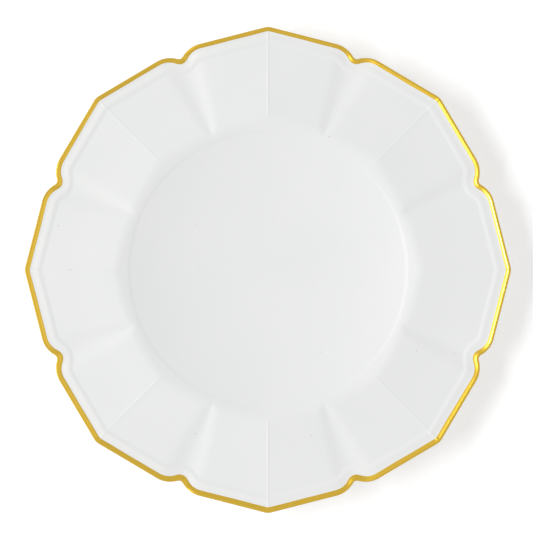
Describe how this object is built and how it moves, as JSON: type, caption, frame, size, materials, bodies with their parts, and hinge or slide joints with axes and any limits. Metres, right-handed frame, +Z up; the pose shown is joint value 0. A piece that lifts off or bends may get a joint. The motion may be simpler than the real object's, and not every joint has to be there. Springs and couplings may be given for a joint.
{
  "type": "dinner plate",
  "caption": "Round china dinner plate with a lobed outline, a faceted and fluted rim, a hollow well, a foot ring and a gilt edge.",
  "frame": {"origin": "middle of the foot ring's contact face, on the surface that the plate stands on", "axes": "+Z up through the middle of the plate, +X towards the point of a lobe, +Y towards the point of the lobe a quarter turn on"},
  "size_m": [0.27, 0.27, 0.0197],
  "materials": {
    "bisque_porcelain": "unglazed fired porcelain, ground smooth on the contact ring",
    "white_glaze": "satin-gloss clear glaze over white porcelain",
    "fired_gold": "bright fired gold on glaze"
  },
  "bodies": {
    "root": {"porcelain_body": "bisque_porcelain", "face_glaze": "white_glaze", "back_glaze": "white_glaze", "foot_well_glaze": "white_glaze", "gilt_edge": "fired_gold"}
  },
  "joints": []
}
